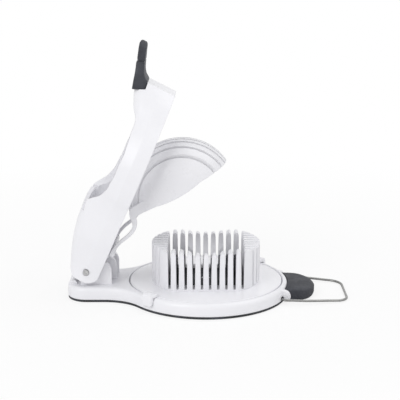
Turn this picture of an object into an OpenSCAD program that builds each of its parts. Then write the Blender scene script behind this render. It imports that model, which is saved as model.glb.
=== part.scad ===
// Egg slicer: a base with a turntable that carries a slotted cradle, a wire
// frame and a finned presser that share one hinge pin, and a wire latch bail.
// The turntable axis is Z, the hinge pin runs along Y, and the handles point to +X.

/* [Base] */
// Radius of the round part of the base
base_r = 54.5; // [53.5:0.5:58]
// Height of the base over the table
base_h = 10; // [9:0.5:12]
// Half width of the hinge block
block_half_w = 21.5; // [20.5:0.5:24]
// Distance from the turntable axis to the rear end of the base
block_reach = 91; // [89:1:96]
// Radius of the hollow that blends the hinge block into the round part
neck_r = 28; // [20:1:36]
// Rounding of the upper edges of the base
base_edge_r = 3; // [1:0.5:4]
// Thickness of the non-slip foot pad
pad_t = 1.6; // [1.2:0.2:2.4]

/* [Turntable] */
// Width of the base rim round the turntable
rim_w = 3.4; // [3:0.1:4.5]
// Thickness of the turntable plate
disc_t = 2.5; // [2:0.1:3.5]
// Width of the two finger tabs
tab_w = 8; // [6:0.5:10]
// Radius of the centre screw that holds the turntable
pivot_r = 3; // [2.5:0.25:4]

/* [Cradle] */
// Outer radius of the cradle
cradle_r = 35.8; // [34.5:0.1:36.2]
// Half depth over the two flat slatted faces
cradle_half_d = 28.5; // [27:0.5:30]
// Height of the cradle over the turntable
cradle_h = 25.8; // [24:0.2:26]
// Distance from one cutting slot to the next
wire_pitch = 5.23; // [5:0.01:5.4]
// Width of a cutting slot at its foot
slot_w = 1.5; // [1.3:0.1:1.8]
// Width of a cutting slot at its mouth
slot_mouth_w = 2.3; // [1.9:0.1:2.6]
// Radius of the round hollow that takes the egg
egg_r = 24; // [22:0.5:25]
// Height of the dark seat under the egg
seat_h = 11; // [9:0.5:13]

/* [Hinge] */
// Distance from the turntable axis back to the hinge pin
hinge_x = 78; // [77:0.5:80]
// Height of the hinge pin over the table
hinge_z = 20; // [19.5:0.5:21]
// Radius of the hinge pin
pin_r = 1.8; // [1.4:0.1:2]
// Angle at which the wire frame stands open
lid_open = 66.8; // [60:0.2:67]
// Angle at which the presser stands open
presser_open = 29.5; // [28:0.5:30]

/* [Wire frame] */
// Wall thickness of the frame shell
wall = 2.4; // [2:0.1:2.6]
// Half width of the frame at the hinge
lid_hinge_half_w = 20; // [19.8:0.1:20.6]
// Length of the frame in front of the round opening
nose_len = 11.7; // [11:0.1:14]
// Depth of the frame under the pin
lid_drop = 8.9; // [8.6:0.1:9]
// Radius of the round opening over the cradle
opening_r = 38.2; // [37.8:0.1:38.4]
// Thickness of a cutting wire
wire_d = 0.6; // [0.4:0.05:0.8]

/* [Presser] */
// Radius of the presser dome
presser_r = 36.3; // [35.5:0.1:37]
// Half width of the presser between its flat sides
dome_y = 24.5; // [23.5:0.5:25]
// Radius of the hollow under the fins
presser_hollow_r = 26; // [25:0.5:28]
// Gap between the cradle and the mouth of the presser when shut
presser_gap = 0.5; // [0.4:0.1:1.5]

/* [Handles] */
// Half width of the grip on the base
grip_half_w = 19; // [17:0.5:19.5]
// How far the base grip stands out from the round base
grip_len = 18; // [16:0.5:20]

/* [Latch bail] */
// Thickness of the bail wire
bail_d = 1.6; // [1.4:0.1:1.8]
// Distance from the bail pivot to its cross wire
bail_len = 43.4; // [43.2:0.1:44.4]
// Half width between the bail legs at the cross wire
bail_half_w = 21.5; // [20.5:0.5:22.5]
// Distance from the bail pivot to the front of the round base
bail_inset = 5; // [4.5:0.1:5.5]
// Height of the bail pivot over the table
bail_z = 3.2; // [3:0.1:3.6]

/* [Hidden] */

fit = 0.05;              // radial running clearance on a pin
gap = 0.3;               // clearance between faces that slide past each other
over = 1;                // how far a cut runs past the face it opens
arc_n = 12;              // steps in a quarter of a round outline

disc_r = base_r - rim_w - gap;
grip_reach = base_r + grip_len;
lid_len = hinge_x + opening_r + nose_len;
bail_x = base_r - bail_inset;
disc_top = base_h;                       // the turntable lies flush with the base
disc_floor = disc_top - disc_t;
cradle_top = disc_top + cradle_h;
cradle_floor = disc_top + 1;             // foot of every slot
egg_z = cradle_top - 1.5;                // centre of the egg hollow
tab_r = base_r + gap;                    // inner face of the turned down tab ends
tab_t = 2;
tab_root = disc_r - 2.8;                 // inner end of a tab, on the plate
tab_rise = 2.6;
tab_drop = 6;
head_r = pivot_r + 2;                    // head of the centre screw, over the pad
head_t = 1.4;
n_wires = 8;
n_slats = 9;
wire_span = (n_wires - 1) * wire_pitch / 2;          // outermost wire from the middle
seat_half_x = n_slats * wire_pitch / 2 + slot_w / 2; // inner faces of the side blocks
seat_half_y = wire_span + slot_w / 2;                // inner faces of the slatted walls
wire_up = cradle_floor + 0.6 + wire_d / 2 - hinge_z; // height of the wires from the pin
bar_w = 3;
bar_rear = hinge_x - opening_r - 2 - bar_w / 2;      // wire bars, measured from the pin
bar_front = hinge_x + opening_r + 2 + bar_w / 2;
bar_half = wire_span + 0.7;
mouth_up = cradle_top + presser_gap - hinge_z;       // mouth of the shut presser
presser_dz = 3.5;                                    // dome centre under the mouth
fin_t = wire_pitch - slot_w;
plate_y = wire_span + slot_w / 2;                    // inner face of the outer plates
arm_in = bar_half + gap;
arm_out = plate_y + fin_t - gap;
lag = lid_open - presser_open;                       // how far the presser lags the open frame
yoke_r = 24;                                         // cross piece between the arms
bail_drop = asin((bail_z - bail_d / 2 - 0.1) / bail_len);

// Half width of the wire frame along its length, measured from the pin
lid_widths = [
    [-7, lid_hinge_half_w], [0, lid_hinge_half_w], [10, lid_hinge_half_w + 2],
    [24, 26.4], [40, 28.7], [hinge_x - 28, opening_r - 6.2], [hinge_x - 20, opening_r - 1.8],
    [hinge_x - 10, opening_r + 1.9], [hinge_x, opening_r + 3.2], [hinge_x + 10, opening_r + 1.9],
    [hinge_x + 20, opening_r - 1.6], [hinge_x + 30, opening_r - 9.2], [lid_len - 12, 24.6],
    [lid_len - 8, 21.6], [lid_len - 4, 17.6], [lid_len, 13]
];
// Height of the frame's back over the pin
lid_tops = [
    [-7, 8], [-4, 10.4], [0, 12], [8, 14.6], [22, 17.6], [32, 18.8], [40, 19],
    [hinge_x - 28, 17.2], [hinge_x - 22, 14.8], [hinge_x - 16, 14], [hinge_x, 13.6],
    [hinge_x + 10, 13], [hinge_x + 22, 12.2], [hinge_x + 30, 12.4], [lid_len - 14, 14],
    [lid_len - 8, 16.4], [lid_len - 2.5, 17.4], [lid_len, 12]
];
// Depth of the frame under the pin, rounded off behind the pin
lid_drops = [
    [-7, 2.5], [-6, 5], [-4, 7.4], [-1.5, lid_drop - 0.2], [0, lid_drop], [lid_len, lid_drop]
];
// Upper and lower side of the grip on the frame, measured from the front end of the frame
grip_upper = [
    [-6.7, 18.1], [-1.9, 19.2], [2.1, 20], [6.6, 21.1], [9.9, 21.9], [10.9, 21.8],
    [12.1, 22.3], [16.1, 23.4], [19.1, 24.2], [21.3, 24.6], [22.7, 24], [23.1, 22.9]
];
grip_lower = [
    [-3.4, 10], [0.5, 10.2], [3.6, 13.3], [6.1, 14.9], [9.3, 16.1], [12.3, 17],
    [17.1, 18.5], [21.6, 19.8], [22.7, 20.6]
];
// Half width of the grip along its length
grip_widths = [
    [-7, 14.4], [-2.9, 13.8], [0, 13.2], [3, 12.6], [9, 11.8], [15, 11],
    [19, 9.6], [21.4, 7.2], [22.6, 4.4], [23.2, 1.5]
];
// Height of the crease between the upright side and the upper face of the frame
lid_creases = [[0, 0.2], [lid_len - 20, -0.4], [lid_len - 9, -0.2], [lid_len - 0.5, 8.8]];
nose_lean = 0.06;        // how far the front end leans forward
knuckle_y = 12.9;        // outer hinge ribs of the base
knuckle_t = 3;
yoke_y = 8.4;            // hinge ears of the presser
yoke_t = 4;

white = [0.93, 0.93, 0.92];
dark = [0.13, 0.14, 0.15];
steel = [0.72, 0.72, 0.70];

// ---------- shared functions and modules ----------

function arc(cx, cy, r, a0, a1, n = arc_n) =
    [for (i = [0:n]) let (a = a0 + (a1 - a0) * i / n) [cx + r * cos(a), cy + r * sin(a)]];

function mirror_y(pts) = [for (i = [len(pts) - 1:-1:0]) [pts[i][0], -pts[i][1]]];

// Unit normal at each point of a closed counter-clockwise outline, pointing out
function outward(pts) =
    let (n = len(pts))
    [for (i = [0:n - 1])
        let (d = pts[(i + 1) % n] - pts[(i + n - 1) % n])
        [d[1], -d[0]] / norm(d)];

// A slab with rounded edges: rings is a list of [height, inset] pairs
module soft_slab(outline, rings) {
    n = len(outline);
    m = len(rings);
    out = outward(outline);
    pts = [for (k = rings) for (i = [0:n - 1])
        let (p = outline[i] - k[1] * out[i]) [p[0], p[1], k[0]]];
    skin(pts, n, m);
}

// Closed skin over m rings of n points each, seen counter-clockwise from the last ring
module skin(pts, n, m) {
    sides = [for (k = [0:m - 2]) for (i = [0:n - 1])
        let (a = k * n + i, b = k * n + (i + 1) % n)
        each [[a, b + n, b], [a, a + n, b + n]]];
    foot = [[for (i = [0:n - 1]) i]];
    head = [[for (i = [n - 1:-1:0]) (m - 1) * n + i]];
    polyhedron(pts, concat(foot, head, sides), convexity = 8);
}

// Insets that round an edge of radius r over height h0 to h1
function round_rings(h0, h1, r_low, r_high, steps = 4) = concat(
    [for (i = [0:steps]) let (a = 90 * i / steps)
        [h0 + r_low * (1 - cos(a)), r_low * (1 - sin(a))]],
    [for (i = [0:steps]) let (a = 90 * i / steps)
        [h1 - r_high * (1 - sin(a)), r_high * (1 - cos(a))]]);

module bore(r, y0, y1) {
    translate([0, y1, 0]) rotate([90, 0, 0]) cylinder(r = r, h = y1 - y0, $fn = 48);
}

// A slot that flares towards its mouth, along X
module slot(len, floor_z, mouth_z) {
    rotate([90, 0, 90]) translate([0, 0, -len / 2]) linear_extrude(len)
        polygon([[-slot_w / 2, floor_z], [slot_w / 2, floor_z],
            [slot_mouth_w / 2, mouth_z], [slot_mouth_w / 2, mouth_z + over],
            [-slot_mouth_w / 2, mouth_z + over], [-slot_mouth_w / 2, mouth_z]]);
}

// ---------- base ----------

neck_x = -sqrt(pow(base_r + neck_r, 2) - pow(block_half_w + neck_r, 2));
neck_y = block_half_w + neck_r;
neck_angle = atan2(neck_y, neck_x);
rear_r = 13;

// Upper half of the base outline, from the front round to the rear
base_half = concat(
    arc(0, 0, base_r, 0, neck_angle, 24),
    [for (p = arc(neck_x, neck_y, neck_r, neck_angle - 180, -90, 8)) if (p[1] < neck_y) p],
    arc(-block_reach + rear_r, block_half_w - rear_r, rear_r, 90, 180, 8));
base_full = [for (i = [0:len(base_half) * 2 - 3])
    i < len(base_half) ? base_half[i]
    : [base_half[2 * len(base_half) - 2 - i][0], -base_half[2 * len(base_half) - 2 - i][1]]];

module knuckle(y, t) {
    translate([-hinge_x, y + t / 2, hinge_z]) rotate([90, 0, 0]) linear_extrude(t)
        difference() {
            union() {
                circle(r = 4.2, $fn = 40);
                translate([-4.2, disc_top - hinge_z - 0.5]) square([21.4, hinge_z - disc_top + 0.5]);
                intersection() {
                    translate([9.7, -1.5]) circle(r = 7.5, $fn = 48);
                    translate([2, -2]) square([16, 9]);
                }
            }
            circle(r = pin_r, $fn = 48);
        }
}

module base_shell() {
    color(white) difference() {
        union() {
            soft_slab(base_full, round_rings(pad_t, base_h, 0.6, base_edge_r));
            for (y = [-knuckle_y, 0, knuckle_y]) knuckle(y, knuckle_t);
            // low roll at the rear end
            translate([-block_reach + 3.6, 0, base_h - 0.6]) rotate([90, 0, 0])
                cylinder(r = 3, h = 2 * (block_half_w - 9), center = true, $fn = 32);
        }
        translate([0, 0, disc_floor - gap]) cylinder(r = disc_r + gap, h = base_h, $fn = 128);
        translate([0, 0, pad_t - over]) cylinder(r = pivot_r, h = base_h, $fn = 48);
        translate([0, 0, pad_t - over]) cylinder(r = head_r, h = head_t + over, $fn = 48);
        for (s = [-1, 1])
            translate([bail_x, 0, bail_z])
                bore(bail_d / 2 + fit, s > 0 ? 15 : -base_r, s > 0 ? base_r : -15);
    }
}

grip_root = asin(grip_half_w / base_r);
// Half outline of the grip as shares of its length and half width
grip_shape = [[0.194, 0.98], [0.47, 0.885], [0.69, 0.705], [0.86, 0.475], [0.965, 0.24], [1, 0]];
grip_side = [for (p = grip_shape) [base_r + p[0] * grip_len, p[1] * grip_half_w]];
grip_out = concat(
    arc(0, 0, base_r, grip_root, -grip_root, 10),
    [for (i = [0:len(grip_side) - 1]) [grip_side[i][0], -grip_side[i][1]]],
    [for (i = [len(grip_side) - 2:-1:0]) grip_side[i]]);

module base_grip() {
    color(dark) intersection() {
        linear_extrude(base_h) polygon([for (i = [len(grip_out) - 1:-1:0]) grip_out[i]]);
        // the top falls away towards the tip
        rotate([90, 0, 0]) linear_extrude(2 * grip_half_w, center = true)
            polygon([[base_r - 8, 0.4], [grip_reach - 10.5, 0.4], [grip_reach, 2.6],
                [grip_reach + 0.2, base_h - 6], [grip_reach - 2, base_h - 3.6],
                [grip_reach - 6, base_h - 2.2], [grip_reach - 12.5, base_h - 1.2],
                [base_r - 8, base_h - 1]]);
    }
}

module foot_pad() {
    color(dark) soft_slab(base_full, [[0, 0.7], [0.5, 0.1], [pad_t - 0.2, 0.1], [pad_t, 0.3]]);
}

module hinge_pin() {
    half = lid_hinge_half_w + 0.6;
    color(steel) translate([-hinge_x, 0, hinge_z]) bore(pin_r, -half, half);
}

module pivot_screw() {
    color(steel) {
        translate([0, 0, pad_t]) cylinder(r = pivot_r, h = disc_top - pad_t - 1, $fn = 48);
        translate([0, 0, pad_t]) cylinder(r = head_r, h = head_t, $fn = 48);
    }
}

// ---------- turntable ----------

module tab(angle) {
    rotate([0, 0, angle]) {
        translate([tab_root, -tab_w / 2, disc_top - 0.6])
            cube([tab_r + tab_t - tab_root, tab_w, 0.6 + tab_rise]);
        translate([tab_r, -tab_w / 2, disc_top - tab_drop]) cube([tab_t, tab_w, tab_drop]);
    }
}

module turntable() {
    color(white) difference() {
        union() {
            translate([0, 0, disc_floor]) cylinder(r = disc_r, h = disc_t, $fn = 128);
            for (a = [45, 225]) intersection() {
                tab(a);
                // the tabs clear the base rim that they pass over
                difference() {
                    cylinder(r = tab_r + tab_t, h = 40, $fn = 128);
                    translate([0, 0, -over]) difference() {
                        cylinder(r = tab_r, h = disc_top + gap + over, $fn = 128);
                        cylinder(r = disc_r, h = disc_top + gap + over, $fn = 128);
                    }
                }
            }
        }
        translate([0, 0, disc_floor - over]) cylinder(r = pivot_r + fit, h = disc_t + 2 * over, $fn = 48);
    }
}

module egg_hollow() {
    translate([0, 0, egg_z]) sphere(r = egg_r, $fn = 96);
}

module x_slots(len) {
    for (k = [0:n_wires - 1])
        translate([0, k * wire_pitch - wire_span, 0]) slot(len, cradle_floor, cradle_top);
}

module y_slots(len) {
    for (k = [0:n_slats])
        translate([k * wire_pitch - n_slats * wire_pitch / 2, 0, 0]) rotate([0, 0, 90])
            slot(len, cradle_floor, cradle_top);
}

module cradle() {
    dip_r = 70;
    color(white) difference() {
        intersection() {
            translate([0, 0, disc_top]) cylinder(r = cradle_r, h = cradle_h, $fn = 128);
            translate([-cradle_r, -cradle_half_d, disc_top])
                cube([2 * cradle_r, 2 * cradle_half_d, cradle_h]);
        }
        translate([-seat_half_x, -seat_half_y, disc_top - over])
            cube([2 * seat_half_x, 2 * seat_half_y, cradle_h + 2 * over]);
        egg_hollow();
        // the slatted walls dip a little in the middle
        translate([0, 0, cradle_top + dip_r - 1.6]) intersection() {
            bore(dip_r, -cradle_r, cradle_r);
            cube([2 * seat_half_x, 4 * cradle_r, 4 * dip_r], center = true);
        }
        x_slots(2 * cradle_r + 2 * over);
        y_slots(2 * cradle_r + 2 * over);
    }
}

module egg_seat() {
    color(dark) difference() {
        translate([-seat_half_x + gap, -seat_half_y + gap, disc_top])
            cube([2 * (seat_half_x - gap), 2 * (seat_half_y - gap), seat_h]);
        egg_hollow();
        x_slots(2 * cradle_r);
        y_slots(2 * cradle_r);
        translate([0, 0, disc_top - over]) cylinder(r = pivot_r + fit, h = 2 * over + 1, $fn = 48);
    }
}

// ---------- wire frame ----------

module on_lid() {
    translate([-hinge_x, 0, hinge_z]) rotate([0, -lid_open, 0]) children();
}

// Half section of the frame shell at distance x from the pin, shrunk by t
function lid_half_section(x, t) =
    let (w = lookup(x, lid_widths) - t,
        top = lookup(x, lid_tops) - t,
        low = -lookup(x, lid_drops) - (t > 0 ? 3 : 0),
        s = lookup(x, lid_creases) - 0.3 * t,
        f = min(1, (top - s) / 12))
    [[w, low], [w, s], [w - 2 * f, s + 0.38 * (top - s)], [w - 4.4 * f, s + 0.7 * (top - s)],
     [w - 7.6 * f, s + 0.91 * (top - s)], [w - 12 * f, s + 0.985 * (top - s)], [4, top]];

// Full section, leaning forward towards the front end
function lid_section(x, t) =
    let (h = lid_half_section(x, t), lean = nose_lean * max(0, (x - lid_len + 10) / 10))
    concat([for (p = h) [x + lean * (p[1] + 2), p[0], p[1]]],
        [for (i = [len(h) - 1:-1:0]) [x + lean * (h[i][1] + 2), -h[i][0], h[i][1]]]);

lid_stations = concat([-7, -6, -4, -1.5, 0, 4, 8, 15, 22, 32, 40],
    [for (d = [-33:4.75:32]) hinge_x + d],
    [for (d = [-18, -14, -12, -9, -6.5, -4, -1.5, 0]) lid_len + d]);
lid_hollow_stations = concat([-9, -6, -1.5, 4, 8, 15, 22, 32, 40],
    [for (d = [-28, -20, -10, 0, 10, 20, 30]) hinge_x + d],
    [for (d = [-18, -14, -10, -wall]) lid_len + d]);

module lid_loft(stations, t) {
    rings = [for (x = stations) lid_section(x, t)];
    n = len(rings[0]);
    skin([for (r = rings) each r], n, len(rings));
}

module lid_shell() {
    color(white) on_lid() difference() {
        lid_loft(lid_stations, 0);
        lid_loft(lid_hollow_stations, wall);
        // round opening over the cradle
        translate([hinge_x, 0, -lid_drop - over]) cylinder(r = opening_r, h = 40, $fn = 128);
        bore(pin_r + fit, -lid_hinge_half_w - over, lid_hinge_half_w + over);
        grip_solid(lid_widths[0][1] + 10);
        // slots that let the presser arms rise
        for (s = [-1, 1]) translate([bar_rear, s > 0 ? arm_in - gap : -arm_out - gap, 0])
            cube([hinge_x - bar_rear - 26, arm_out - arm_in + 2 * gap, 40]);
    }
}

function grip_profile() = concat(grip_upper, [for (i = [len(grip_lower) - 1:-1:0]) grip_lower[i]]);

module grip_solid(half) {
    translate([lid_len, 0, 0]) rotate([90, 0, 0]) linear_extrude(2 * half, center = true)
        polygon(grip_profile());
}

module lid_grip() {
    color(dark) on_lid() intersection() {
        grip_solid(lid_widths[0][1] + 10);
        // narrower towards the rounded tip
        translate([lid_len, 0, 0]) linear_extrude(40)
            polygon(concat(grip_widths, mirror_y(grip_widths)));
    }
}

// The bars fill the hollow of the frame up to its skin
module wire_bar(x) {
    color(white) on_lid() intersection() {
        lid_loft(lid_hollow_stations, wall);
        translate([x - bar_w / 2, -bar_half, wire_up - 0.5]) cube([bar_w, 2 * bar_half, 40]);
    }
}

module rear_wire_bar() { wire_bar(bar_rear); }

module front_wire_bar() { wire_bar(bar_front); }

module wire(k) {
    color(steel) on_lid() translate([bar_rear + bar_w / 2, (k - 1) * wire_pitch - wire_span, wire_up])
        rotate([0, 90, 0]) cylinder(d = wire_d, h = bar_front - bar_rear - bar_w, $fn = 16);
}

// ---------- presser ----------

module on_presser() {
    translate([-hinge_x, 0, hinge_z]) rotate([0, -presser_open, 0]) children();
}

dome_x = hinge_x;                         // centre of the dome when shut
dome_z = mouth_up - presser_dz;
// Foot of the cap that joins the fins, just over the wires of the open frame
cap_r = wire_up - norm([dome_x, dome_z]) * sin(atan2(dome_z, dome_x) - lag) + wire_d / 2 + 0.4;

// Fins between the wires, joined by a cap that stays behind the open wires
module dome_solid() {
    difference() {
        intersection() {
            translate([dome_x, 0, dome_z]) rotate([90, 0, 0]) sphere(r = presser_r, $fn = 128);
            translate([dome_x - 50, -dome_y, mouth_up]) cube([100, 2 * dome_y, 50]);
        }
        intersection() {
            translate([dome_x, 0, dome_z]) rotate([90, 0, 0]) sphere(r = presser_hollow_r, $fn = 96);
            translate([dome_x - 50, -wire_span, mouth_up - 50]) cube([100, 2 * wire_span, 100]);
        }
        translate([dome_x, 0, dome_z]) rotate([0, -lag, 0])
            for (k = [0:n_wires - 1])
                translate([-50, k * wire_pitch - wire_span - slot_w / 2, -80])
                    cube([100, slot_w, 80 + cap_r]);
    }
}

module presser_arm() {
    root = dome_x - sqrt(pow(presser_r, 2) - pow(arm_out, 2));   // where the arm meets the dome
    rotate([90, 0, 0]) linear_extrude(arm_out - arm_in, center = true)
        polygon([[yoke_r - 2, -3], [root - 15.5, 4.6], [root - 10, mouth_up - 5.3],
            [root - 6, mouth_up + 4.4], [root + 3.6, mouth_up + 5.4], [root + 3.6, mouth_up + 0.3],
            [root - 2.1, mouth_up + 0.3], [root - 2.3, mouth_up - 3.6], [root - 5.6, mouth_up - 8.3],
            [root - 11.6, 1], [yoke_r + 2, -7], [yoke_r - 2, -7]]);
}

module presser_ear() {
    rotate([90, 0, 0]) linear_extrude(yoke_t, center = true) union() {
        circle(r = 4, $fn = 40);
        polygon([[0, -4], [yoke_r + 1, -7], [yoke_r + 1, -3], [0, 4]]);
    }
}

module presser_dome() {
    color(white) on_presser() difference() {
        union() {
            dome_solid();
            for (s = [-1, 1]) {
                translate([0, s * (arm_in + arm_out) / 2, 0]) presser_arm();
                translate([0, s * yoke_y, 0]) presser_ear();
            }
            translate([yoke_r - 2, -arm_out, -7]) cube([4, 2 * arm_out, 4]);
        }
        bore(pin_r + fit, -lid_hinge_half_w, lid_hinge_half_w);
    }
}

// ---------- latch bail ----------

bail_stub = 17;                        // inner end of the pivot stubs
// The legs clear the round base when the bail stands up
bail_root_w = sqrt(pow(base_r, 2) - pow(bail_x - bail_d / 2 - gap, 2)) + bail_d / 2 + gap;
bail_bend = 2.4;
bail_corner = 9;

// Half of the bail's centre line, in its own plane, from the pivot stub to the middle
bail_half = concat(
    [[0, bail_stub], [0, bail_root_w - bail_bend]],
    arc(bail_bend, bail_root_w - bail_bend, bail_bend, 180, 90, 4),
    [[16, bail_root_w - 0.9]],
    arc(bail_len - bail_corner, bail_half_w - bail_corner, bail_corner, 84, 0, 7));
bail_path = concat(bail_half, mirror_y(bail_half));

// Direction of the path at point i
function heading(path, i) =
    let (n = len(path), d = path[min(i + 1, n - 1)] - path[max(i - 1, 0)]) d / norm(d);

module latch_bail() {
    n = len(bail_path);
    sides = 10;
    pts = [for (i = [0:n - 1])
        let (d = heading(bail_path, i))
        for (j = [0:sides - 1])
            let (a = 360 * j / sides, u = bail_d / 2 * cos(a), v = bail_d / 2 * sin(a))
            [bail_path[i][0] + u * d[1], bail_path[i][1] - u * d[0], v]];
    color(steel) translate([bail_x, 0, bail_z]) rotate([0, bail_drop, 0]) skin(pts, sides, n);
}

// ---------- nodes ----------

base_shell();
base_grip();
foot_pad();
hinge_pin();
pivot_screw();
turntable();
cradle();
egg_seat();
lid_shell();
lid_grip();
rear_wire_bar();
front_wire_bar();
for (k = [1:n_wires]) wire(k);
presser_dome();
latch_bail();
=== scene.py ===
import math
import bpy
import bmesh
from mathutils import Matrix, Vector


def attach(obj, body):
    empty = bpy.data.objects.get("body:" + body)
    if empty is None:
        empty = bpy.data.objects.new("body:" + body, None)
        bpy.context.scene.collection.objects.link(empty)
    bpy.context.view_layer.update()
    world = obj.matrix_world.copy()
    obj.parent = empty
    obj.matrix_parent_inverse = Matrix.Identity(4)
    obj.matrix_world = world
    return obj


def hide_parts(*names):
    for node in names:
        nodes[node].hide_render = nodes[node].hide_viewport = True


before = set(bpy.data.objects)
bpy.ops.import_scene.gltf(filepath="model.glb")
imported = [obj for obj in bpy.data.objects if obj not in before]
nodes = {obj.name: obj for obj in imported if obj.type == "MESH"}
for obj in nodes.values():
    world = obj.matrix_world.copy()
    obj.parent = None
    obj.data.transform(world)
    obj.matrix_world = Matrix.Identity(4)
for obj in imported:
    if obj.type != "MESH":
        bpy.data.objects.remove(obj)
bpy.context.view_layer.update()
mm = 0.001  # pieces are given in mm, and finishes, lamps and camera in metres


class Socket:
    def __init__(self, home, link):
        self.home = home
        self.link = link

    def __add__(self, other):
        return self.home.maths("ADD", self, other)

    def __radd__(self, other):
        return self.home.maths("ADD", other, self)

    def __sub__(self, other):
        return self.home.maths("SUBTRACT", self, other)

    def __rsub__(self, other):
        return self.home.maths("SUBTRACT", other, self)

    def __mul__(self, other):
        return self.home.maths("MULTIPLY", self, other)

    def __rmul__(self, other):
        return self.home.maths("MULTIPLY", other, self)


class NodeSet:
    # the nodes of a material or of the world
    def __init__(self, owner):
        owner.use_nodes = True
        self.tree = owner.node_tree
        self.tree.nodes.clear()

    def add(self, kind, settings=None, inputs=None, out=0):
        node = self.tree.nodes.new("ShaderNode" + kind)
        for key, value in (settings or {}).items():
            setattr(node, key, value)
        for key, value in (inputs or {}).items():
            socket = node.inputs[key]
            if isinstance(value, Socket):
                self.tree.links.new(value.link, socket)
            elif socket.type == "RGBA":
                socket.default_value = (*value, 1)
            else:
                socket.default_value = value
        return Socket(self, node.outputs[out]) if node.outputs else node

    def maths(self, operation, first, second):
        return self.add("Math", {"operation": operation}, {0: first, 1: second})

    def between(self, mask, low, high):
        # low and high each hold a value of the mask and what it becomes
        return self.add("MapRange", {}, {"Value": mask, "From Min": low[0], "From Max": high[0],
                                         "To Min": low[1], "To Max": high[1]})


class Finish(NodeSet):
    def __init__(self, name):
        self.material = bpy.data.materials.new(name)
        super().__init__(self.material)
        self.coords = self.add("TexCoord", out="Object")

    def noise(self, scale, detail, roughness=0.5, vector=None):
        return self.add("TexNoise", {}, {"Vector": vector or self.coords, "Scale": scale,
                                         "Detail": detail, "Roughness": roughness})

    def mixColor(self, mask, first, second):
        return self.add("Mix", {"data_type": "RGBA"}, {0: mask, 6: first, 7: second}, 2)

    def bump(self, height, strength, depth, edgeRound=0):
        inputs = {"Strength": strength, "Distance": depth, "Height": height}
        if edgeRound:
            inputs["Normal"] = self.add("Bevel", {"samples": 6}, {"Radius": edgeRound})
        return self.add("Bump", {}, inputs)

    def finishWith(self, **inputs):
        names = {"color": "Base Color", "roughness": "Roughness", "metallic": "Metallic",
                 "normal": "Normal", "specular": "Specular IOR Level"}
        shader = self.add("BsdfPrincipled", {}, {names[key]: value for key, value in inputs.items()})
        self.add("OutputMaterial", {}, {"Surface": shader})
        return self.material


mouldedPlastic = {
    "cleanColor": (0.895, 0.893, 0.925), "shadeColor": (0.855, 0.855, 0.89),
    "cloudScale": 28, "cloudRange": [(0.35, 0), (0.75, 0.6)],
    "scuffScale": 90, "scuffRange": [(0.45, 0), (0.75, 1)], "scuffHeight": 0.35,
    "grainScale": 2600, "grainDepth": 0.000008, "bump": 0.5,
    "gloss": 0.28, "dull": 0.42, "specular": 0.5, "edgeRound": 0.00035,
}


# paintedShadeFactor scales both tones down, as painted shade on darker copies of the same white plastic
def plasticFinish(name, settings, paintedShadeFactor=1.0):
    f = Finish(name)
    clouds = f.noise(settings["cloudScale"], detail=4)
    grain = f.noise(settings["grainScale"], detail=2)
    scuffs = f.noise(settings["scuffScale"], detail=6, roughness=0.65)
    scuffMask = f.between(scuffs, *settings["scuffRange"])
    clean = [c * paintedShadeFactor for c in settings["cleanColor"]]
    shaded = [c * paintedShadeFactor for c in settings["shadeColor"]]
    color = f.mixColor(f.between(clouds, *settings["cloudRange"]), clean, shaded)
    roughness = settings["gloss"] + (settings["dull"] - settings["gloss"]) * scuffMask
    height = grain + settings["scuffHeight"] * scuffs
    normal = f.bump(height, settings["bump"], settings["grainDepth"], settings["edgeRound"])
    return f.finishWith(color=color, roughness=roughness, normal=normal, specular=settings["specular"])


softRubber = {
    "color": (0.029, 0.031, 0.039), "worn": (0.058, 0.062, 0.076),
    "wornScale": 70, "wornRange": [(0.42, 0), (0.72, 1)],
    "stippleScale": 1900, "stippleDepth": 0.00003, "bump": 0.6,
    "smooth": 0.46, "matt": 0.66, "specular": 0.42, "edgeRound": 0.0006,
}


def rubberFinish(name, settings):
    f = Finish(name)
    stipple = f.noise(settings["stippleScale"], detail=3)
    wear = f.noise(settings["wornScale"], detail=5, roughness=0.6)
    wornMask = f.between(wear, *settings["wornRange"])
    color = f.mixColor(wornMask, settings["color"], settings["worn"])
    roughness = settings["matt"] - (settings["matt"] - settings["smooth"]) * wornMask
    normal = f.bump(stipple, settings["bump"], settings["stippleDepth"], settings["edgeRound"])
    return f.finishWith(color=color, roughness=roughness, normal=normal, specular=settings["specular"])


drawnSteel = {
    "color": (0.62, 0.62, 0.61), "darker": (0.42, 0.42, 0.43),
    "lineScale": 900, "lineRange": [(0.35, 0), (0.7, 1)], "lineDepth": 0.00001, "bump": 0.3,
    "spotScale": 220, "spotRange": (0.3, 0.75), "polish": 0.16, "haze": 0.34,
}


def steelFinish(name, settings, stretch):
    f = Finish(name)
    stretched = f.add("Mapping", {}, {"Vector": f.coords, "Scale": stretch})
    lines = f.noise(settings["lineScale"], detail=3, vector=stretched)
    spots = f.noise(settings["spotScale"], detail=4)
    color = f.mixColor(f.between(lines, *settings["lineRange"]), settings["color"], settings["darker"])
    fromSpot, toSpot = settings["spotRange"]
    roughness = f.between(spots, (fromSpot, settings["polish"]), (toSpot, settings["haze"]))
    normal = f.bump(lines, settings["bump"], settings["lineDepth"])
    return f.finishWith(color=color, roughness=roughness, normal=normal, metallic=1.0)


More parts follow.
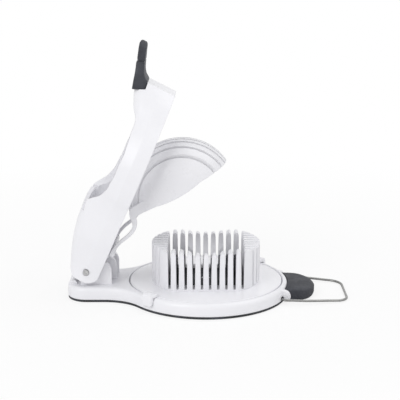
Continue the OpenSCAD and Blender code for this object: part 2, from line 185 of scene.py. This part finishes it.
brightWire = {**drawnSteel, "color": (0.74, 0.74, 0.74)}
darkWire = {**drawnSteel, "color": (0.32, 0.32, 0.31), "darker": (0.22, 0.22, 0.22)}
finishes = {
    "shell": plasticFinish("shellPlastic", mouldedPlastic),
    "table": plasticFinish("turntablePlastic", {**mouldedPlastic, "gloss": 0.14, "dull": 0.24}),
    # the cradle's copy of the plastic is darkened by 1 % as painted shade
    "slats": plasticFinish("cradlePlasticPaintedShade", {**mouldedPlastic, "gloss": 0.34}, 0.99),
    # the presser's copy of the plastic is darkened by 7 % as painted shade, for the shade the frame casts
    # over it
    "dome": plasticFinish("presserPlasticPaintedShade", {**mouldedPlastic, "gloss": 0.26}, 0.93),
    "grip": rubberFinish("gripRubber", softRubber),
    "pad": rubberFinish("padRubber", {**softRubber, "color": (0.02, 0.021, 0.023)}),
    # the egg seat is a real piece, dressed near black as painted shade for the deep shade at the floors of
    # the slots
    "seat": rubberFinish("seatDarkPaintedShade", {**softRubber, "color": (0.03, 0.031, 0.036)}),
    "pin": steelFinish("pinSteel", drawnSteel, (1, 12, 1)),
    "wire": steelFinish("wireSteel", brightWire, (1, 1, 0.1)),
    "bail": steelFinish("bailSteel", darkWire, (0.1, 1, 1)),
}
print("finishes made")

slicing = {"wires": 8, "pitch": 5.23}  # shared by the wires, the presser and the cradle
carriedOver = {
    "hinge_pin": "pin", "pivot_screw": "pin", "egg_seat": "seat",
    "rear_wire_bar": "shell", "front_wire_bar": "shell",
    **{f"wire_{k + 1}": "wire" for k in range(slicing["wires"])},
}


def dress(obj, finish):
    obj.data.materials.clear()
    obj.data.materials.append(finishes[finish])


for name, finish in carriedOver.items():
    dress(nodes[name], finish)
print("carried-over parts dressed")


def spread(low, high, count):
    return [low + (high - low) * i / (count - 1) for i in range(count)]


def evenly(count, pitch):
    # places of equal pitch, centred on zero
    return [(k - (count - 1) / 2) * pitch for k in range(count)]


def bothSides(low, high):
    return [(-high, -low), (low, high)]


def smoothAt(table, x):
    # smooth curve through a table of (place, value), level beyond its ends
    if x <= table[0][0]:
        return table[0][1]
    if x >= table[-1][0]:
        return table[-1][1]
    rises = [(b[1] - a[1]) / (b[0] - a[0]) for a, b in zip(table, table[1:])]

    def slope(i):
        if i == 0 or i == len(rises):
            return rises[0] if i == 0 else rises[-1]
        before, after = rises[i - 1], rises[i]
        if before * after <= 0:
            return 0
        return 2 * before * after / (before + after)

    i = max(k for k in range(len(rises)) if table[k][0] <= x)
    span = table[i + 1][0] - table[i][0]
    t = (x - table[i][0]) / span
    return ((2 * t**3 - 3 * t**2 + 1) * table[i][1] + (t**3 - 2 * t**2 + t) * span * slope(i)
            + (3 * t**2 - 2 * t**3) * table[i + 1][1] + (t**3 - t**2) * span * slope(i + 1))


def smoothPath(points, steps=3):
    # rounded path through a few flat points
    path = []
    for i in range(len(points) - 1):
        p0, p1 = points[max(i - 1, 0)], points[i]
        p2, p3 = points[i + 1], points[min(i + 2, len(points) - 1)]
        for k in range(steps):
            t = k / steps
            path.append(tuple(
                0.5 * (2 * b + (c - a) * t + (2 * a - 5 * b + 4 * c - d) * t * t
                       + (3 * b - a - 3 * c + d) * t**3)
                for a, b, c, d in zip(p0, p1, p2, p3)))
    return path + [tuple(points[-1])]


def arcPoints(cx, cy, radius, fromDeg, toDeg, count):
    turns = (math.radians(a) for a in spread(fromDeg, toDeg, count))
    return [(cx + radius * math.cos(a), cy + radius * math.sin(a)) for a in turns]


def circle(radius, sides):
    turns = (2 * math.pi * i / sides for i in range(sides))
    return [(radius * math.cos(a), radius * math.sin(a)) for a in turns]


def moved(x=0, y=0, z=0):
    return Matrix.Translation(Vector((x, y, z)) * mm)


def turned(degrees, axis):
    return Matrix.Rotation(math.radians(degrees), 4, axis)


def newPiece(name, verts, faces, place=None):
    mesh = bpy.data.meshes.new(name)
    mesh.from_pydata([Vector(v) * mm for v in verts], [], faces)
    mesh.validate()
    bm = bmesh.new()
    bm.from_mesh(mesh)
    bmesh.ops.recalc_face_normals(bm, faces=bm.faces)
    bm.to_mesh(mesh)
    bm.free()
    if place:
        mesh.transform(place)
    obj = bpy.data.objects.new(name, mesh)
    bpy.context.scene.collection.objects.link(obj)
    return obj


def loft(name, rings, place=None):
    # skin over rings of equally many points, with flat ends
    n = len(rings[0])
    verts = [p for ring in rings for p in ring]
    faces = []
    for k in range(len(rings) - 1):
        for i in range(n):
            a, b = k * n + i, k * n + (i + 1) % n
            faces.append((a, b, b + n, a + n))
    faces.append(tuple(range(n)))
    faces.append(tuple((len(rings) - 1) * n + i for i in range(n)))
    return newPiece(name, verts, faces, place)


through = 60  # half length of a cut that passes right through
boreSides = 48
ballSides = 96
rimSides = 192
curveSides = 360  # for the shallow curves of the presser and the cradle


def roundSolid(name, profile, sides, place=None):
    # round about z, from a list of (radius, height)
    return loft(name, [[(x, y, z) for x, y in circle(r, sides)] for r, z in profile], place)


def roundBar(name, radius, low, high, place=None, sides=boreSides):
    return roundSolid(name, [(radius, low), (radius, high)], sides, place)


def ball(name, radius, z, place=None):
    # its poles are left flat
    turns = spread(-math.pi / 2, math.pi / 2, ballSides // 2 + 1)[1:-1]
    profile = [(radius * math.cos(a), z + radius * math.sin(a)) for a in turns]
    return roundSolid(name, profile, ballSides, place)


def block(name, low, high, place=None):
    ring = [(low[0], low[1]), (high[0], low[1]), (high[0], high[1]), (low[0], high[1])]
    return loft(name, [[(x, y, z) for x, y in ring] for z in (low[2], high[2])], place)


def crossCut(name, profile, place=None):
    # cut along y of a profile in x and z
    return loft(name, [[(x, y, z) for x, z in profile] for y in (-through, through)], place)


def sidePlate(name, profile, low, high, place=None, edge=0.35):
    # flat plate between two y places, with its two outlines drawn in along the edges
    cx = sum(x for x, z in profile) / len(profile)
    cz = sum(z for x, z in profile) / len(profile)
    rings = []
    for y, inset in ((low, edge), (low + edge, 0), (high - edge, 0), (high, edge)):
        ring = []
        for x, z in profile:
            away = math.hypot(x - cx, z - cz) or 1
            ring.append((x - inset * (x - cx) / away, y, z - inset * (z - cz) / away))
        rings.append(ring)
    return loft(name, rings, place)


def softSlab(name, outline, rings):
    # rings hold a height and how far the outline is drawn in
    n = len(outline)
    normals = []
    for i in range(n):
        dx = outline[(i + 1) % n][0] - outline[i - 1][0]
        dy = outline[(i + 1) % n][1] - outline[i - 1][1]
        size = math.hypot(dx, dy)
        normals.append((dy / size, -dx / size))
    return loft(name, [[(x - inset * nx, y - inset * ny, z)
                        for (x, y), (nx, ny) in zip(outline, normals)] for z, inset in rings])


def combine(target, tool, operation="DIFFERENCE"):
    step = target.modifiers.new("step", "BOOLEAN")
    step.operation = operation
    step.solver = "EXACT"
    step.object = tool
    depsgraph = bpy.context.evaluated_depsgraph_get()
    mesh = bpy.data.meshes.new_from_object(target.evaluated_get(depsgraph))
    old = target.data
    target.modifiers.clear()
    target.data = mesh
    mesh.name = target.name
    bpy.data.meshes.remove(old)
    bpy.data.objects.remove(tool)
    return target


def soften(obj, angle):
    # smooth shading, but for edges sharper than the angle
    for polygon in obj.data.polygons:
        polygon.use_smooth = True
    obj.data.set_sharp_from_angle(angle=math.radians(angle))


def handOver(obj, body, finish, slot, *replaced):
    dress(obj, finish)
    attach(obj, body)
    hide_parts(*replaced)
    print(obj.name, "made")


# the frame and the presser stand open on one pin, and their shapes are drawn closed from its centre
hinge = {"x": -78.0, "z": 20.0, "frameOpen": 66.8, "presserOpen": 29.5, "bore": 1.85}
bailPivot = {"x": 49.5, "z": 3.2}
pinPlace = moved(x=hinge["x"], z=hinge["z"])
framePlace = pinPlace @ turned(-hinge["frameOpen"], "Y")
presserPlace = pinPlace @ turned(-hinge["presserOpen"], "Y")
alongY = turned(90, "X")

base = {
    "radius": 54.5, "height": 10, "blockHalf": 21.5, "reach": 91, "neck": 28, "rear": 13,
    "lowEdge": 0.6, "topEdge": 3, "padThick": 1.6,
    "padEdge": [(0, 0.7), (0.15, 0.4), (0.5, 0.1), (1.3, 0.1), (1.6, 0.3)],
    "discRadius": 50.8, "discFloor": 7.5, "gap": 0.3,
    "lip": [(-0.6, -0.9), (0, -0.75), (0.28, -0.3), (0.7, 0), (1.2, 0.3)],
    "screwWell": (5, 1, 3), "screwBore": (3, 0, 20),
    "rollRadius": 3, "rollHalf": 12.5, "rollIn": 3.6, "rollSunk": 0.6,
    "lug": [(46, 1.7), (53.2, 1.7), (54.6, 2.3), (55.1, 3.8), (54.8, 5.8), (53.6, 7.4), (51, 8.4),
            (46, 8.8)],
    "lugWide": (19.3, 22.6), "lugEdge": 0.5, "eyeletSides": 32,
    "eyelet": 0.85, "eyeletWide": (15, 45), "mouth": 1.4, "mouthWide": (21.4, 24.4),
    "sharpOver": 34, "padSharpOver": 50,
}
hingeRib = {
    "places": [(-12.9, 16.2), (0, 18.8), (12.9, 19.2)],  # where along the pin, and how far forward
    "wide": 3, "size": 12, "foot": -10.5, "edge": [(0.42, 0), (0.47, 0.1), (0.5, 0.5)],
    "heel": 4.2, "heelTurn": 68, "toe": 7.5, "toeAt": -1.5, "toeTurn": 122,
}


def baseOutline(b):
    neckY = b["blockHalf"] + b["neck"]
    neckX = -math.sqrt((b["radius"] + b["neck"])**2 - neckY**2)
    turn = math.degrees(math.atan2(neckY, neckX))
    half = arcPoints(0, 0, b["radius"], 0, turn, 60)
    half += arcPoints(neckX, neckY, b["neck"], turn - 180, -90, 20)[1:]
    half += arcPoints(-b["reach"] + b["rear"], b["blockHalf"] - b["rear"], b["rear"], 90, 180, 18)
    return half + [(x, -y) for x, y in reversed(half[1:])]


def roundedRings(low, high, lowEdge, highEdge):
    turns = spread(0, math.pi / 2, 8)
    return ([(low + lowEdge * (1 - math.cos(a)), lowEdge * (1 - math.sin(a))) for a in turns]
            + [(high - highEdge * (1 - math.sin(a)), highEdge * (1 - math.cos(a))) for a in turns])


def makeRib(r, y, forward):
    # profile in x and z from the pin, drawn in a little at both faces
    profile = [(-r["heel"], r["foot"]), (forward, r["foot"]), (forward, r["toeAt"])]
    profile += arcPoints(forward - r["toe"], r["toeAt"], r["toe"], 0, r["toeTurn"], 16)
    profile += arcPoints(0, 0, r["heel"], r["heelTurn"], 180, 16)
    rings = []
    for side, inset in [(-side, inset) for side, inset in reversed(r["edge"])] + r["edge"]:
        shrink = 1 - inset / r["size"]
        rings.append([(x * shrink, y + side * r["wide"], z * shrink if z > 0 else z) for x, z in profile])
    return loft("rib", rings, pinPlace)


def makeBase(b):
    outline = baseOutline(b)
    body = softSlab("baseBody", outline, roundedRings(b["padThick"], b["height"], b["lowEdge"], b["topEdge"]))
    for y, forward in hingeRib["places"]:
        combine(body, makeRib(hingeRib, y, forward), "UNION")
    rollPlace = moved(x=b["rollIn"] - b["reach"], z=b["height"] - b["rollSunk"]) @ alongY
    combine(body, roundBar("roll", b["rollRadius"], -b["rollHalf"], b["rollHalf"], rollPlace), "UNION")
    for low, high in bothSides(*b["lugWide"]):
        combine(body, sidePlate("lug", smoothPath(b["lug"]), low, high, edge=b["lugEdge"]), "UNION")
    recess = b["discRadius"] + b["gap"]
    combine(body, roundBar("recess", recess, b["discFloor"] - b["gap"], through, sides=rimSides))
    lip = [(recess + r, b["height"] + z) for r, z in b["lip"]]
    combine(body, roundSolid("lip", lip, rimSides))
    for name in ("screwWell", "screwBore"):
        combine(body, roundBar(name, *b[name]))
    pivotPlace = moved(x=bailPivot["x"], z=bailPivot["z"]) @ alongY
    for name in ("eyelet", "mouth"):
        for low, high in bothSides(*b[name + "Wide"]):
            combine(body, roundBar(name, b[name], low, high, pivotPlace, b["eyeletSides"]))
    soften(body, b["sharpOver"])
    handOver(body, "base", "shell", "white_plastic", "base_shell")
    pad = softSlab("footPad", outline, b["padEdge"])
    soften(pad, b["padSharpOver"])
    handOver(pad, "base", "pad", "soft_grip", "foot_pad")


makeBase(base)

baseGrip = {
    "reach": (51.2, 72.4), "rings": 44, "clear": 0.02, "sharpOver": 50,
    "halfWidth": [(50, 19), (58, 18.9), (63, 17.9), (67, 15.2), (70, 11.2), (71.9, 6.2), (72.5, 1)],
    "top": [(50, 9), (54, 9.0), (60, 8.8), (66.5, 7.9), (70.5, 6.9), (72.3, 5.8)],
    "bottom": [(50, 0.4), (66, 0.4), (70, 1.2), (72.5, 3.2)],
    # shares of the half width and of the height
    "section": [(0.95, 0), (0.99, 0.1), (1, 0.4), (0.985, 0.74), (0.965, 0.83), (0.90, 0.9),
                (0.75, 0.955), (0.5, 0.99), (0.2, 1)],
}


def makeBaseGrip(g):
    rings = []
    for x in spread(*g["reach"], g["rings"]):
        w, top, low = (smoothAt(g[key], x) for key in ("halfWidth", "top", "bottom"))
        half = smoothPath([(w * wide, low + tall * (top - low)) for wide, tall in g["section"]])
        rings.append([(x, y, z) for y, z in half] + [(x, -y, z) for y, z in reversed(half)])
    body = loft("baseGrip", rings)
    combine(body, roundBar("rim", base["radius"] + g["clear"], -through, through, sides=rimSides))
    soften(body, g["sharpOver"])
    handOver(body, "base", "grip", "soft_grip", "base_grip")


makeBaseGrip(baseGrip)

shell = {
    "wall": 2.4, "opening": 38.2, "openingSides": 160, "rear": -7, "long": 127.9, "rings": 110,
    "hollowRear": -9, "hollowRings": 80, "hollowDrop": 3, "hollowSeam": 0.3,
    "lean": 0.06, "leanFrom": 10, "leanFoot": -2, "sharpOver": 34,
    "halfWidth": [(-7, 20), (0, 20), (10, 22), (24, 26.4), (40, 28.7), (50, 32), (58, 36.4), (68, 40.1),
                  (78, 41.4), (88, 40.1), (98, 36.6), (108, 29), (115.9, 24.6), (119.9, 21.6),
                  (123.9, 17.6), (127.9, 13)],
    "top": [(-7, 8), (-4, 10.4), (0, 12), (8, 14.6), (22, 17.6), (32, 18.8), (40, 19), (50, 17.2),
            (56, 14.8), (62, 14), (78, 13.6), (88, 13), (100, 12.2), (108, 12.4), (113.9, 14),
            (119.9, 16.4), (125.4, 17.4), (127.9, 12)],
    "drop": [(-7, 2.5), (-6, 5), (-4, 7.4), (-1.5, 8.7), (0, 8.9), (130, 8.9)],
    "crease": [(0, 0.2), (107.9, -0.4), (118.9, -0.2), (127.4, 8.8)],
    # how far in from the side, and the share of the height over the crease
    "shoulder": [(0, 0), (2, 0.38), (4.4, 0.7), (7.6, 0.91), (12, 0.985)], "crown": 4,
    "pinRing": 2.4, "pinRingWide": (19.1, 21), "armSlot": (38.4, 52), "armSlotWide": (19.3, 21.4),
}
frameGrip = {
    "rings": 120, "groove": 0.59, "grooveWide": 0.012, "grooveDeep": 0.5, "sharpOver": 48,
    "upper": [(121.2, 18.1), (126, 19.2), (130, 20), (134.5, 21.1), (137.8, 21.9), (138.8, 21.8),
              (140, 22.3), (144, 23.4), (147, 24.2), (149.2, 24.6), (150.6, 24), (151, 22.9)],
    "lower": [(124.5, 10), (128.4, 10.2), (131.5, 13.3), (134, 14.9), (137.2, 16.1), (140.2, 17),
              (145, 18.5), (149.5, 19.8), (150.6, 20.6)],
    "half": [(120.9, 14.4), (125, 13.8), (127.9, 13.2), (130.9, 12.6), (136.9, 11.8), (142.9, 11),
             (146.9, 9.6), (149.3, 7.2), (150.5, 4.4), (151.1, 1.5)],
    # shares of the height and of the half width
    "section": [(0.0, 0.3), (0.0, 0.7), (0.03, 0.93), (0.16, 0.99), (0.5, 1.0), (0.8, 0.985),
                (0.94, 0.92), (1.0, 0.72), (1.0, 0.3)],
}


def shellRing(s, x, inset):
    w = smoothAt(s["halfWidth"], x) - inset
    top = smoothAt(s["top"], x) - inset
    low = -smoothAt(s["drop"], x) - (s["hollowDrop"] if inset else 0)
    seam = smoothAt(s["crease"], x) - s["hollowSeam"] * inset
    rise = top - seam
    flat = min(1, rise / s["shoulder"][-1][0])  # where the shell is low, its shoulder is narrower
    lean = s["lean"] * max(0, (x - s["long"] + s["leanFrom"]) / s["leanFrom"])
    corners = [(w - inward * flat, seam + share * rise) for inward, share in s["shoulder"]]
    half = [(w, low)] + smoothPath(corners + [(s["crown"], top)], 5)
    full = half + [(-y, z) for y, z in reversed(half)]
    return [(x + lean * (z - s["leanFoot"]), y, z) for y, z in full]


def makeShell(s):
    outer = [shellRing(s, x, 0) for x in spread(s["rear"], s["long"], s["rings"])]
    inner = [shellRing(s, x, s["wall"])
             for x in spread(s["hollowRear"], s["long"] - s["wall"], s["hollowRings"])]
    body = loft("frameShell", outer, framePlace)
    combine(body, loft("hollow", inner, framePlace))
    openingPlace = framePlace @ moved(x=-hinge["x"])
    combine(body, roundBar("opening", s["opening"], -through, through, openingPlace, s["openingSides"]))
    combine(body, roundBar("pinBore", hinge["bore"], -through, through, framePlace @ alongY))
    rear, front = s["armSlot"]
    for ring, slot in zip(bothSides(*s["pinRingWide"]), bothSides(*s["armSlotWide"])):
        combine(body, roundBar("pinRing", s["pinRing"], *ring, framePlace @ alongY))
        combine(body, block("armSlot", (rear, slot[0], 0), (front, slot[1], through), framePlace))
    combine(body, crossCut("gripSeat", frameGrip["upper"] + frameGrip["lower"][::-1], framePlace))
    soften(body, s["sharpOver"])
    handOver(body, "wire_frame", "shell", "white_plastic", "lid_shell")


def makeFrameGrip(g):
    # rounded cross-sections that run from the slanted root to the tip
    section = smoothPath(g["section"])
    ends = [(g[edge][0][0], g[edge][-1][0]) for edge in ("lower", "upper")]
    rings = []
    for t in spread(0, 1, g["rings"]):
        lowerX, upperX = (root + (tip - root) * t for root, tip in ends)
        cut = g["grooveDeep"] * math.exp(-((t - g["groove"]) / g["grooveWide"])**2)
        upper = smoothAt(g["upper"], upperX) - cut
        lower = smoothAt(g["lower"], lowerX) + cut
        ring = []
        for level, wide in section:
            x = lowerX + (upperX - lowerX) * level
            ring.append((x, (smoothAt(g["half"], x) - cut) * wide, lower + (upper - lower) * level))
        rings.append(ring + [(x, -y, z) for x, y, z in reversed(ring)])
    body = loft("frameGrip", rings, framePlace)
    soften(body, g["sharpOver"])
    handOver(body, "wire_frame", "grip", "soft_grip", "lid_grip")


makeShell(shell)
makeFrameGrip(frameGrip)

presser = {
    "at": (78, 12.8), "long": 36.2, "tall": 35.1, "deep": 25.5, "half": 24.5, "power": 2.35,
    "rings": 50, "sides": 144, "mouth": 16.3, "bulge": 1.8, "bulgeRadius": 70,
    "hollow": 26, "hollowHalf": 18.3, "slotWide": 1.5, "cap": 29.68, "lag": 37.3,
    "armAt": (19.7, 21), "earAt": (6.4, 10.4), "cross": (21.4, 2.2, 1.8), "crossHalf": 20.9,
    "armUpper": [(19.4, 2.8), (21, 4), (25, 6), (30, 7.7), (35, 8.4), (39.5, 9.6), (42.4, 12),
                 (43.6, 15.5), (44.2, 19), (46, 22), (50, 22.9), (60, 22.9)],
    "armLower": [(60, 16.6), (52, 16.6), (47.6, 16.2), (46.2, 13), (44.2, 10.2), (40.6, 7.8), (35, 6.3),
                 (30, 5.5), (25, 3.8), (21.5, 1.8), (19.4, 0.8)],
    "ear": [(0, 4), (9, 4.4), (18.6, 4.4), (22.2, 4), (23, 2.4), (21.4, 0.6), (9, -2.4), (0, -4)],
    "earRound": 4, "sharpOver": 30,
}


def makeDome(p):
    cx, cz = p["at"]
    rings = []
    for y in spread(-p["half"], p["half"], p["rings"]):
        share = (1 - abs(y / p["deep"])**p["power"])**(1 / p["power"])
        rings.append([(cx + p["long"] * share * x, y, cz + p["tall"] * share * z)
                      for x, z in circle(1, p["sides"])])
    return loft("presser", rings, presserPlace)


def makePresser(p):
    cx, cz = p["at"]
    centre = presserPlace @ moved(x=cx, z=cz)
    body = makeDome(p)
    under = block("under", (cx - through, -through, cz - through), (cx + through, through, p["mouth"]),
                  presserPlace)
    bulgePlace = presserPlace @ moved(x=cx, z=p["mouth"] - p["bulge"] + p["bulgeRadius"]) @ alongY
    bulge = roundBar("bulge", p["bulgeRadius"], -through - 1, through + 1, bulgePlace, curveSides)
    combine(body, combine(under, bulge))
    slab = block("slab", (-through, -p["hollowHalf"], -through), (through, p["hollowHalf"], through), centre)
    combine(body, combine(ball("hollow", p["hollow"], 0, centre), slab, "INTERSECT"))
    tilted = centre @ turned(-p["lag"], "Y")
    for y in evenly(slicing["wires"], slicing["pitch"]):
        low = (-through, y - p["slotWide"] / 2, -through)
        combine(body, block("slot", low, (through, y + p["slotWide"] / 2, p["cap"]), tilted))
    arm = smoothPath(p["armUpper"]) + smoothPath(p["armLower"])
    cross = arcPoints(*p["cross"], 0, 345, 24)
    ear = smoothPath(p["ear"]) + arcPoints(0, 0, p["earRound"], 270, 90, 16)[1:-1]
    plates = [("arm", arm, *side) for side in bothSides(*p["armAt"])]
    plates += [("cross", cross, -p["crossHalf"], p["crossHalf"])]
    plates += [("ear", ear, *side) for side in bothSides(*p["earAt"])]
    for plate in plates:
        combine(body, sidePlate(*plate, presserPlace), "UNION")
    combine(body, roundBar("pinBore", hinge["bore"], -through, through, presserPlace @ alongY))
    soften(body, p["sharpOver"])
    handOver(body, "presser", "dome", "white_plastic", "presser_dome")


makePresser(presser)

table = {
    "radius": 50.5, "floor": 7.5, "top": 10, "lowEdge": 0.2, "topEdge": 0.7, "bore": 3.05,
    "tabTurns": (46, 228), "tabHalf": 4, "tabReach": (40, 60), "tabEdge": 0.5, "sharpOver": 34,
    "tab": [(47.6, 9.5), (48.2, 10.4), (49.6, 11.7), (51.6, 12.4), (54, 12.6), (55.8, 12.3), (56.6, 11),
            (56.75, 8), (56.7, 5.4), (56.2, 4.3), (55.3, 4.2), (54.9, 5.4), (54.87, 9.4)],
    "tabUnder": [(54.7, 10.36), (50.7, 10.36), (50.5, 9.5)],
    "tongue": {"low": 4.1, "high": 12.7, "lowRound": 2.8, "highRound": 1.3},
}


def tongueOutline(wide, low, high, lowRound, highRound):
    # a tab seen from its end
    half = arcPoints(wide - highRound, high - highRound, highRound, 90, 0, 8)
    half += arcPoints(wide - lowRound, low + lowRound, lowRound, 0, -90, 10)
    return half + [(-y, z) for y, z in reversed(half)]


def makeTurntable(t):
    edges = [(t["floor"], t["lowEdge"]), (t["floor"] + t["lowEdge"], 0)]
    edges += [(t["top"] - t["topEdge"] * (1 - math.sin(a)), t["topEdge"] * (1 - math.cos(a)))
              for a in spread(0, math.pi / 2, 8)]
    body = roundSolid("turntableBody", [(t["radius"] - inset, z) for z, inset in edges], rimSides)
    profile = smoothPath(t["tab"]) + t["tabUnder"]
    outline = tongueOutline(t["tabHalf"], **t["tongue"])
    for turn in t["tabTurns"]:
        place = turned(turn, "Z")
        tab = sidePlate("tab", profile, -t["tabHalf"], t["tabHalf"], place, t["tabEdge"])
        tongue = loft("tongue", [[(x, y, z) for y, z in outline] for x in t["tabReach"]], place)
        combine(body, combine(tab, tongue, "INTERSECT"), "UNION")
    combine(body, roundBar("bore", t["bore"], -through, through))
    soften(body, t["sharpOver"])
    handOver(body, "turntable", "table", "white_plastic", "turntable")


makeTurntable(table)

cradle = {
    "radius": 35.8, "halfDepth": 28.5, "bottom": 10, "top": 35.8, "seat": (24.285, 19.055),
    "edge": [(0.5, 0), (0.15, 0.15), (0, 0.5)],  # below the top, and how far drawn in
    "egg": 24, "eggAt": 34.3, "dip": 1.6, "dipRadius": 70, "slats": 9, "sharpOver": 34,
    # half widths of the slots, at their foot and by height about their mouth
    "foot": 11, "footHalf": 0.75,
    "slot": [(1.0, -5), (1.08, -2.4), (1.22, -1.3), (1.5, -0.6), (2.0, -0.15), (2.5, 0), (2.5, 3)],
    "crossSlot": [(1.12, -0.5), (1.3, -0.1), (1.6, 0.1), (1.6, 3)],
}


def slotCut(c, shape, mouth, place):
    half = [(c["footHalf"], c["foot"])] + [(w, mouth + z) for w, z in c[shape]]
    return crossCut("slot", half + [(-w, z) for w, z in reversed(half)], place)


def makeCradle(c):
    turn = math.degrees(math.asin(c["halfDepth"] / c["radius"]))
    outline = arcPoints(0, 0, c["radius"], -turn, turn, 48)
    outline += arcPoints(0, 0, c["radius"], 180 - turn, 180 + turn, 48)
    edges = [(c["bottom"], 0)] + [(c["top"] - below, inset) for below, inset in c["edge"]]
    body = softSlab("cradleBody", outline, edges)
    seatX, seatY = c["seat"]
    combine(body, block("well", (-seatX, -seatY, 0), (seatX, seatY, through)))
    combine(body, ball("egg", c["egg"], c["eggAt"]))
    dipTop = c["top"] - c["dip"]
    dip = roundBar("dip", c["dipRadius"], -through - 1, through + 1,
                   moved(z=dipTop + c["dipRadius"]) @ alongY, curveSides)
    middle = block("middle", (-seatX, -through, 0), (seatX, through, 2 * through))
    combine(body, combine(dip, middle, "INTERSECT"))
    for x in evenly(c["slats"] + 1, slicing["pitch"]):
        mouth = min(c["top"], dipTop + x * x / (2 * c["dipRadius"]))
        combine(body, slotCut(c, "slot", mouth, moved(x=x)))
    for y in evenly(slicing["wires"], slicing["pitch"]):
        combine(body, slotCut(c, "crossSlot", c["top"], moved(y=y) @ turned(90, "Z")))
    soften(body, c["sharpOver"])
    handOver(body, "turntable", "slats", "white_plastic", "cradle")


makeCradle(cradle)

bail = {
    "thick": 1.6, "long": 43.4, "half": 21.5, "root": 26.15, "stub": 17, "bend": 2.4, "straight": 1,
    "leg": [(9, 0.5), (16, 0.9)],  # along the bail, and how far in from its root
    "corner": 9, "cornerTurn": 84, "lift": 0.1, "sides": 20, "sharpOver": 60,
}


def tube(name, path, radius, sides, place):
    rings = []
    up = Vector((0, 0, 1))
    for i, point in enumerate(path):
        ahead = Vector(path[min(i + 1, len(path) - 1)]) - Vector(path[max(i - 1, 0)])
        across = ahead.normalized().cross(up)
        rings.append([tuple(Vector(point) + radius * (across * u + up * v)) for u, v in circle(1, sides)])
    return loft(name, rings, place)


def makeBail(b):
    half = [(0, b["stub"]), (0, b["root"] - b["bend"] - b["straight"])]
    half += arcPoints(b["bend"], b["root"] - b["bend"], b["bend"], 180, 90, 10)
    half += [(x, b["root"] - inward) for x, inward in b["leg"]]
    half += arcPoints(b["long"] - b["corner"], b["half"] - b["corner"], b["corner"], b["cornerTurn"], 0, 18)
    path = [(x, y, 0) for x, y in half] + [(x, -y, 0) for x, y in reversed(half)]
    drop = math.asin((bailPivot["z"] - b["thick"] / 2 - b["lift"]) / b["long"])
    place = moved(x=bailPivot["x"], z=bailPivot["z"]) @ turned(math.degrees(drop), "Y")
    wire = tube("latchBail", path, b["thick"] / 2, b["sides"], place)
    soften(wire, b["sharpOver"])
    handOver(wire, "bail", "bail", "bail_steel", "latch_bail")


makeBail(bail)

cameraSetup = {
    "lookAt": (-0.0039, 0, 0.0635), "distance": 0.7, "pitch": 13.75, "lens": 95.85, "sensor": 36,
    "nearest": 0.01,
}


def placeCamera(c):
    data = bpy.data.cameras.new("camera")
    data.lens = c["lens"]
    data.sensor_width = c["sensor"]
    data.clip_start = c["nearest"]
    obj = bpy.data.objects.new("camera", data)
    pitch = math.radians(c["pitch"])
    obj.location = Vector(c["lookAt"]) + c["distance"] * Vector((0, -math.cos(pitch), math.sin(pitch)))
    obj.rotation_euler = (math.pi / 2 - pitch, 0, 0)
    bpy.context.scene.collection.objects.link(obj)
    bpy.context.scene.camera = obj


lampTarget = (0, 0, 0.06)
lamps = [
    {"name": "keyLamp", "at": (-0.75, -0.95, 0.75), "size": 0.7, "power": 4.6},
    {"name": "fillLamp", "at": (0.8, -0.6, 0.6), "size": 1.1, "power": 0.8},
    {"name": "topLamp", "at": (0.6, 0.1, 1.2), "size": 0.9, "power": 3.4},
]


def placeLamp(lamp):
    data = bpy.data.lights.new(lamp["name"], "AREA")
    data.size = lamp["size"]
    data.energy = lamp["power"]
    obj = bpy.data.objects.new(lamp["name"], data)
    obj.location = lamp["at"]
    aim = Vector(lampTarget) - Vector(lamp["at"])
    obj.rotation_euler = aim.to_track_quat("-Z", "Y").to_euler()
    bpy.context.scene.collection.objects.link(obj)


room = {
    "ambient": 0.66, "floorHalf": 8000, "floorAt": -0.2,
    "cardColors": [(0.93, 0.93, 0.93), (0.95, 0.95, 0.95)], "cardScale": 400,
    "cardRange": [(0.4, 0), (0.7, 1)], "cardRoughness": 0.9, "fade": [(0.12, 0.80), (0.45, 1.0)],
}


def paleRoom(r):
    # white where it is seen or mirrored, and dimmer as a light
    world = bpy.data.worlds.new("room")
    bpy.context.scene.world = world
    tree = NodeSet(world)
    seen, mirrored, seenThrough = (tree.add("LightPath", out=f"Is {kind} Ray")
                                   for kind in ("Camera", "Glossy", "Transmission"))
    shown = tree.maths("MAXIMUM", seen, tree.maths("MAXIMUM", mirrored, seenThrough))
    level = tree.between(shown, (0, r["ambient"]), (1, 1))
    back = tree.add("Background", {}, {"Color": (1, 1, 1), "Strength": level})
    tree.add("OutputWorld", {}, {"Surface": back})


def paleFloor(r):
    # card that turns white away from the object, for the camera alone
    half, z = r["floorHalf"], r["floorAt"]
    corners = [(-half, -half, z), (half, -half, z), (half, half, z), (-half, half, z)]
    obj = newPiece("floor", corners, [(0, 1, 2, 3)])
    f = Finish("floorCard")
    fibres = f.noise(r["cardScale"], detail=3)
    color = f.mixColor(f.between(fibres, *r["cardRange"]), *r["cardColors"])
    card = f.add("BsdfPrincipled", {}, {"Base Color": color, "Roughness": r["cardRoughness"]})
    bright = f.add("Emission", {}, {"Color": (1, 1, 1), "Strength": 1.0})
    seen = f.add("LightPath", out="Is Camera Ray")
    away = f.add("VectorMath", {"operation": "LENGTH"}, {0: f.coords}, "Value")
    mixed = f.add("MixShader", {}, {0: f.between(away, *r["fade"]) * seen, 1: card, 2: bright})
    f.add("OutputMaterial", {}, {"Surface": mixed})
    obj.data.materials.append(f.material)


placeCamera(cameraSetup)
for lamp in lamps:
    placeLamp(lamp)
paleRoom(room)
paleFloor(room)
bpy.context.scene.view_settings.view_transform = "Standard"
print("camera, lamps and floor placed")
